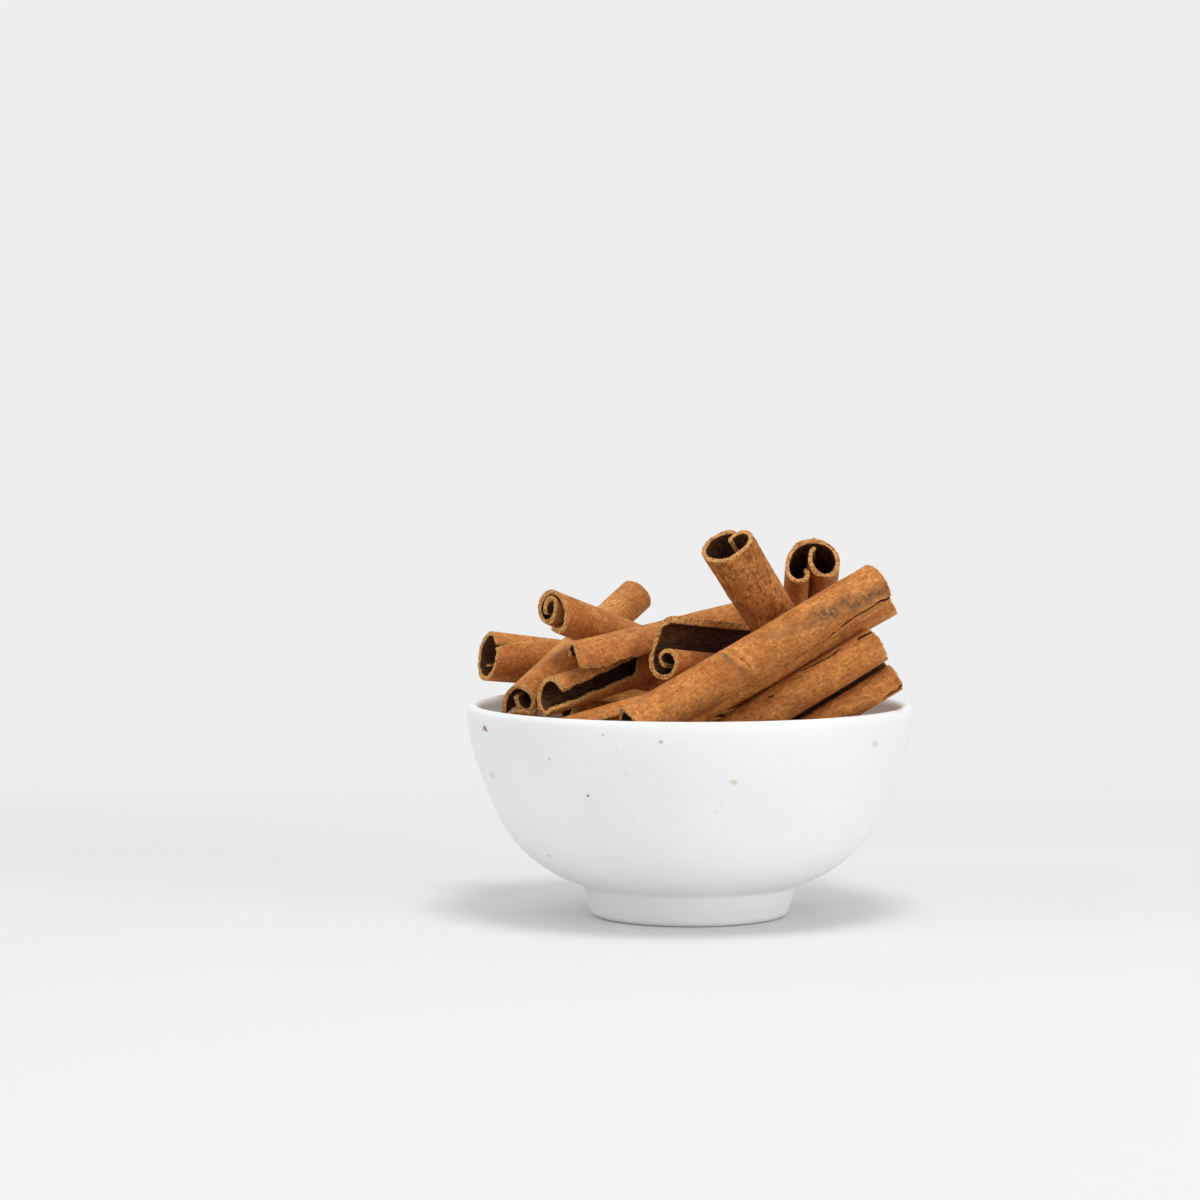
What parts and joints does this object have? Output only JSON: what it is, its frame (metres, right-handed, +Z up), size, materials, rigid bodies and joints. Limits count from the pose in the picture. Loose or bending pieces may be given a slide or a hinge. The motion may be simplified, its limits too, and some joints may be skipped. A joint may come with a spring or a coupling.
{
  "type": "bowl of cinnamon sticks",
  "caption": "Rolled cinnamon bark quills of several widths heaped and leaning in a small round white footed bowl.",
  "frame": {"origin": "on the table, under the middle of the bowl", "axes": "+X to the right of the heap and +Y to its back, as seen from the side where the long quill with a thin crack along it lies across the bowl's front rim; +Z up"},
  "size_m": [0.12, 0.12, 0.105],
  "materials": {
    "porcelain": "gloss",
    "cinnamon_bark": "matte"
  },
  "bodies": {
    "root": {"bowl": "porcelain", "stick_far_left": "cinnamon_bark", "stick_upper_left": "cinnamon_bark", "stick_back_left": "cinnamon_bark", "stick_middle": "cinnamon_bark", "stick_slotted": "cinnamon_bark", "stick_front_left": "cinnamon_bark", "stick_half_open": "cinnamon_bark", "stick_front_long": "cinnamon_bark", "stick_front_right": "cinnamon_bark", "stick_leaning": "cinnamon_bark", "stick_back_right": "cinnamon_bark", "stick_front_low": "cinnamon_bark", "stick_under_1": "cinnamon_bark", "stick_under_2": "cinnamon_bark", "stick_under_3": "cinnamon_bark", "stick_under_4": "cinnamon_bark", "stick_under_5": "cinnamon_bark", "stick_under_6": "cinnamon_bark", "stick_under_7": "cinnamon_bark", "stick_under_8": "cinnamon_bark"}
  },
  "joints": []
}
